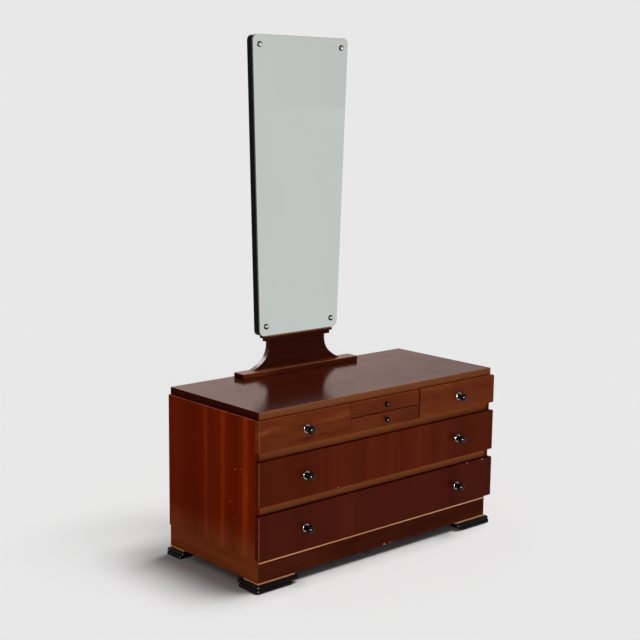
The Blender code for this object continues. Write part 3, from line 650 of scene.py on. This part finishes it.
def black_gloss(name, rough, ior):
    """Black lacquer or ebonised wood with faint wipe marks and dust in the gloss."""
    paint = Paint(name, IOR=ior)
    smear = paint.noise(SMEAR)
    dust = paint.span(paint.noise(DUST), *DUST_SPAN)
    colour = paint.mix(paint.span(smear, *SMEAR_SPAN), *BLACK)
    colour = paint.mix(paint.calc("MULTIPLY", dust, DUST_SHARE), colour, DUST_GREY)
    gloss = paint.span(smear, *SMEAR_GLOSS_SPAN, rough, rough + SMEAR_ROUGH)
    paint.shine(Base_Color=colour, Roughness=gloss, Normal=paint.bump(smear, *SMEAR_RELIEF))
    return paint.material


def chrome_plate(name, tones, seat, shade_reach):
    """Chrome with a little haze, and with painted shade up to some reach from the piece's seat, which is a
    plane across Y. The painted shade darkens the chrome there, standing for the shade and dark reflections
    near the seat."""
    paint = Paint(name, Metallic=1.0)
    haze = paint.noise(HAZE)
    colour = paint.mix(paint.span(haze, *HAZE_SPAN), *tones)
    # Painted shade: the chrome is darkened near its seat
    colour = paint.mix(paint.span(paint.distance_to("Y", seat), shade_reach, shade_reach * SEAT_SHADE_CORE), colour, SEAT_SHADE)
    gloss = paint.span(haze, *HAZE_GLOSS)
    paint.shine(Base_Color=colour, Roughness=gloss, Normal=paint.bump(haze, *HAZE_RELIEF))
    return paint.material


def mirror_silver(name):
    """Silvered glass, a little green, with darker ground edges and faint wipe marks."""
    paint = Paint(name, Metallic=1.0)
    wipe = paint.noise(WIPE)
    edge = paint.span(paint.from_side(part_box("mirror_glass"), *FRONT), *GLASS_EDGE_SPAN)
    colour = paint.mix(edge, paint.mix(paint.span(wipe, *WIPE_SPAN), *SILVER), GLASS_EDGE)
    gloss = paint.add_share(paint.span(wipe, *WIPE_GLOSS), edge, GLASS_EDGE_ROUGH)
    paint.shine(Base_Color=colour, Roughness=gloss)
    return paint.material


def plain_finishes():
    """Finishes of the insides, the feet, the inlays and the mirror."""
    black = black_gloss("black_gloss", rough=0.05, ior=1.18)
    inlay = bare_wood("tan_inlay", TAN, "X", seed=31.0, rough=0.35)
    plywood = bare_wood("plywood", PLY, "X", seed=33.0, rough=0.6)
    underside = bare_wood("underside", UNDER, "X", seed=34.0, rough=0.7)
    back = bare_wood("back_plywood", PLY, "X", seed=35.0, rough=0.6, nailed=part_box("back_panel"))
    finishes = {
        "plinth_inlay": inlay,
        "bottom_board": underside,
        "plinth_back": underside,
        "back_panel": back,
        "mirror_backing": black_gloss("black_board", rough=0.28, ior=1.10),
        "mirror_glass": mirror_silver("mirror_silver"),
    }
    for name in NODES:
        if name.startswith("foot_spacer"):
            finishes[name] = inlay
        elif name.startswith("foot_"):
            finishes[name] = black
        elif name.startswith("dust_board"):
            finishes[name] = plywood
        elif name.startswith("drawer_box"):
            finishes[name] = bare_wood(name + "_wood", PALE, "Y", seed=32.0, dovetailed=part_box(name))
    return finishes


def smoothing():
    """Modifier nodes that join the facets of a piece and shade all but its sharp edges smooth."""
    group = bpy.data.node_groups.new("smooth_shading", "GeometryNodeTree")
    for direction in ("INPUT", "OUTPUT"):
        group.interface.new_socket("Geometry", in_out=direction, socket_type="NodeSocketGeometry")
    nodes = group.nodes
    start, end = nodes.new("NodeGroupInput"), nodes.new("NodeGroupOutput")
    merge = nodes.new("GeometryNodeMergeByDistance")
    merge.inputs["Distance"].default_value = WELD
    strip = nodes.new("GeometryNodeRemoveAttribute")
    strip.inputs["Name"].default_value = "custom_normal"
    smooth, sharp = nodes.new("GeometryNodeSetShadeSmooth"), nodes.new("GeometryNodeSetShadeSmooth")
    sharp.domain = "EDGE"
    sharp.inputs["Shade Smooth"].default_value = False
    angle = nodes.new("GeometryNodeInputMeshEdgeAngle")
    steep = nodes.new("FunctionNodeCompare")
    steep.inputs["B"].default_value = SMOOTH_ANGLE
    group.links.new(angle.outputs["Unsigned Angle"], steep.inputs["A"])
    group.links.new(steep.outputs["Result"], sharp.inputs["Selection"])
    chain = (start, strip, merge, smooth, sharp, end)
    for before, after in zip(chain, chain[1:]):
        group.links.new(before.outputs[0], after.inputs[0])
    return group


SMOOTHING = smoothing()


def shade_smooth(piece):
    """Adds the smoothing modifier to a piece, and another that keeps its flat faces flat beside rounded
    edges."""
    piece.modifiers.new("smooth", "NODES").node_group = SMOOTHING
    flat = piece.modifiers.new("flat", "WEIGHTED_NORMAL")
    flat.keep_sharp = True
    flat.weight = FLAT_WEIGHT


def arc(centre, radius, start, end):
    """Points on an arc. Angles are degrees."""
    points = []
    for step in range(ARC_STEPS + 1):
        angle = math.radians(start + (end - start) * step / ARC_STEPS)
        points.append((centre[0] + radius * math.cos(angle), centre[1] + radius * math.sin(angle)))
    return points


def turned(node, profile, material):
    """A finely turned piece that stands for a coarser solid. The profile holds radius and reach from the
    solid's back. It is closed where it starts away from the axis."""
    low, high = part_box(node)
    middle_x, middle_z = (low.x + high.x) / 2, (low.z + high.z) / 2
    shape = bmesh.new()
    rings = []
    for radius, reach in profile:
        ring = []
        for step in range(TURN_STEPS if radius else 1):
            angle = 2 * math.pi * step / TURN_STEPS
            x, z = middle_x + radius * math.cos(angle), middle_z + radius * math.sin(angle)
            ring.append(shape.verts.new((x, high.y - reach, z)))
        rings.append(ring)
    pairs = list(zip(rings, rings[1:]))
    if len(rings[0]) > 1:
        pairs.append((rings[-1], rings[0]))
    for first, second in pairs:
        for step in range(TURN_STEPS):
            after = (step + 1) % TURN_STEPS
            corners = [first[step % len(first)], first[after % len(first)],
                       second[after % len(second)], second[step % len(second)]]
            shape.faces.new(list(dict.fromkeys(corners)))
    bmesh.ops.recalc_face_normals(shape, faces=shape.faces)
    mesh = bpy.data.meshes.new(node + "_turned")
    shape.to_mesh(mesh)
    shape.free()
    mesh.materials.append(material)
    piece = bpy.data.objects.new(node + "_turned", mesh)
    bpy.context.scene.collection.objects.link(piece)
    shade_smooth(piece)
    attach(piece, NODES[node]["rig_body"])
    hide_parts(node)


def collar_profile(radius, depth):
    """A dished ring with a round rim."""
    hole, rim = STEM_RADIUS + COLLAR_PLAY, COLLAR_RIM_RADIUS
    dish = [(hole, COLLAR_DISH), (radius - 2 * rim, COLLAR_DISH)]
    return dish + arc((radius - rim, depth - rim), rim, 180, 0) + [(radius, 0), (hole, 0)]


def knob_profile(radius, depth, stem):
    """A ball on a stem."""
    ball = arc((0, depth - radius), radius, 90, math.degrees(math.asin(stem / radius)) - 90)
    return [(0, depth)] + ball[1:] + [(stem, 0), (0, 0)]


def screw_profile(radius, depth):
    """A domed head with a low rim, on a shank."""
    neck = depth - SCREW_HEAD
    dome = [(radius * across, neck + SCREW_RIM + (SCREW_HEAD - SCREW_RIM) * rise)
            for across, rise in arc((0, 0), 1, 90, 0)]
    shank = [(SCREW_SHANK_RADIUS, neck), (SCREW_SHANK_RADIUS, 0), (0, 0)]
    return [(0, depth)] + dome[1:] + [(radius, neck)] + shank


def make_knobs():
    """Finer knobs, collars and mirror screws."""
    black = black_gloss("black_knob", rough=0.02, ior=1.30)
    # The chrome is darkened near the drawer front and near the glass by painted shade
    chrome = chrome_plate("chrome", COLLAR_CHROME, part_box("drawer_front_middle")[LOW].y, COLLAR_SEAT_SHADE)
    screw_chrome = chrome_plate("screw_chrome", SCREW_CHROME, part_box("mirror_glass")[LOW].y, SCREW_SEAT_SHADE)
    for node in sorted(NODES):
        low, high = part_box(node)
        radius, depth = (high.x - low.x) / 2, high.y - low.y
        if node.startswith("knob_collar"):
            turned(node, collar_profile(radius, depth), chrome)
        elif node.startswith("knob_"):
            stem = SMALL_STEM_RADIUS if "small" in node else STEM_RADIUS
            turned(node, knob_profile(radius, depth, stem), black)
        elif node.startswith("mirror_screw"):
            turned(node, screw_profile(radius, depth), screw_chrome)


def make_floor():
    """A plain pale floor that passes into the background far out."""
    mesh = bpy.data.meshes.new("floor")
    near, far = -FLOOR_REACH, FLOOR_REACH
    mesh.from_pydata([(near, near, 0), (far, near, 0), (far, far, 0), (near, far, 0)], [], [(0, 1, 2, 3)])
    floor = bpy.data.objects.new("floor", mesh)
    bpy.context.scene.collection.objects.link(floor)
    paint = Paint("floor", Base_Color=tone(*FLOOR_COLOUR), Roughness=FLOOR_ROUGH, Specular_IOR_Level=0.0)
    path = paint.node("LightPath").outputs
    seen = paint.calc("MAXIMUM", path["Is Camera Ray"], path["Is Glossy Ray"])
    seen = paint.calc("MAXIMUM", seen, path["Is Transmission Ray"])
    away = paint.span(paint.vector_calc("LENGTH", paint.place), *FLOOR_FADE)
    glow = paint.node("Emission", {"Color": tone(*BACKGROUND)}).outputs[0]
    shown = paint.mix_shaders(paint.calc("MULTIPLY", seen, away), paint.shader.outputs[0], glow)
    paint.feed(paint.tree.nodes["Material Output"].inputs["Surface"], shown)
    mesh.materials.append(paint.material)


def make_world():
    """Weak light from around, a plain background for the camera, and a room for what is polished.

    In front of the object that room passes from the background to dim as the view rises, and behind the
    object from left to right."""
    world = bpy.data.worlds.new("studio")
    world.use_nodes = True
    bpy.context.scene.world = world
    sky = Nodes(world.node_tree)
    towards = sky.node("TexCoord").outputs["Generated"]
    height = sky.node("SeparateXYZ", {0: towards}).outputs["Z"]
    light = sky.tree.nodes["Background"]
    sky.feed(light.inputs["Color"], (1, 1, 1, 1))
    sky.feed(light.inputs["Strength"], sky.span(height, 0.0, 1.0, *WORLD_LIGHT))
    backdrop, dim, left, right = [sky.node("Background", {"Color": colour}).outputs[0]
                                  for colour in (tone(*BACKGROUND), ROOM_DIM, ROOM_LEFT, ROOM_RIGHT)]
    yaw_x, yaw_y = math.sin(CAMERA_YAW), math.cos(CAMERA_YAW)
    across = sky.vector_calc("DOT_PRODUCT", towards, (yaw_y, -yaw_x, 0.0))
    depth = sky.vector_calc("DOT_PRODUCT", towards, (yaw_x, yaw_y, 0.0))
    in_front = sky.mix_shaders(sky.span(height, *ROOM_RISE), backdrop, dim)
    behind = sky.mix_shaders(sky.span(across, *ROOM_ACROSS), left, right)
    room = sky.mix_shaders(sky.span(depth, *ROOM_DEPTH), in_front, behind)
    path = sky.node("LightPath").outputs
    shown = sky.mix_shaders(path["Is Glossy Ray"], light.outputs[0], room)
    shown = sky.mix_shaders(path["Is Transmission Ray"], shown, room)
    shown = sky.mix_shaders(path["Is Camera Ray"], shown, backdrop)
    sky.feed(sky.tree.nodes["World Output"].inputs["Surface"], shown)


def add_lamp(name, energy, size, turn, rise):
    """A soft lamp far away."""
    lamp = bpy.data.lights.new(name, "SUN")
    lamp.energy = energy
    lamp.angle = math.radians(size)
    piece = bpy.data.objects.new(name, lamp)
    turn, rise = math.radians(turn), math.radians(rise)
    towards = Vector((math.sin(turn) * math.cos(rise), -math.cos(turn) * math.cos(rise), math.sin(rise)))
    piece.rotation_euler = towards.to_track_quat("Z", "Y").to_euler()
    bpy.context.scene.collection.objects.link(piece)
    return piece


def make_lamps():
    """Two lamps for the whole object, and the lamps of the gleams."""
    add_lamp("key", *KEY_LAMP).visible_glossy = False
    add_lamp("front", *FRONT_LAMP).visible_glossy = False
    for starts, values in GLEAMS.items():
        gleam = add_lamp("gleam_" + starts[0], *values)
        gleam.visible_diffuse = False
        polished = bpy.data.collections.new("polished_" + starts[0])
        for piece in bpy.context.scene.objects:
            if piece.name.startswith(starts):
                polished.objects.link(piece)
        gleam.light_linking.receiver_collection = polished


def make_camera():
    """The camera at the photograph's place and angle."""
    lens = bpy.data.cameras.new("camera")
    lens.sensor_fit = "HORIZONTAL"
    lens.sensor_width = SENSOR_WIDTH
    lens.lens = FOCAL_PIXELS * SENSOR_WIDTH / PICTURE_WIDTH
    flat = math.cos(CAMERA_PITCH)
    ahead = Vector((flat * math.sin(CAMERA_YAW), flat * math.cos(CAMERA_YAW), -math.sin(CAMERA_PITCH)))
    level = Vector((math.cos(CAMERA_YAW), -math.sin(CAMERA_YAW), 0))
    above = level.cross(ahead)
    right = level * math.cos(CAMERA_ROLL) + above * math.sin(CAMERA_ROLL)
    up = above * math.cos(CAMERA_ROLL) - level * math.sin(CAMERA_ROLL)
    turn = Matrix((right, up, -ahead)).transposed()
    camera = bpy.data.objects.new("camera", lens)
    camera.matrix_world = Matrix.Translation(CAMERA_PLACE) @ turn.to_4x4()
    bpy.context.scene.collection.objects.link(camera)
    bpy.context.scene.camera = camera


def main():
    """Dresses the solids, and adds the finer pieces, the studio and the camera."""
    boards = {name: wood(name, **look) for name, look in BOARDS.items()}
    for node, material in {**boards, **plain_finishes()}.items():
        mesh = NODES[node].data
        mesh.materials.clear()
        mesh.materials.append(material)
        shade_smooth(NODES[node])
    arris = NODES["mirror_glass"].modifiers.new("arris", "BEVEL")
    arris.width = GLASS_ARRIS
    arris.segments = GLASS_ARRIS_STEPS
    arris.harden_normals = True
    arris.limit_method = "ANGLE"
    arris.angle_limit = SMOOTH_ANGLE
    make_knobs()
    make_floor()
    make_world()
    make_lamps()
    make_camera()
    bpy.context.scene.view_settings.view_transform = "Standard"


main()
bpy.context.view_layer.update()
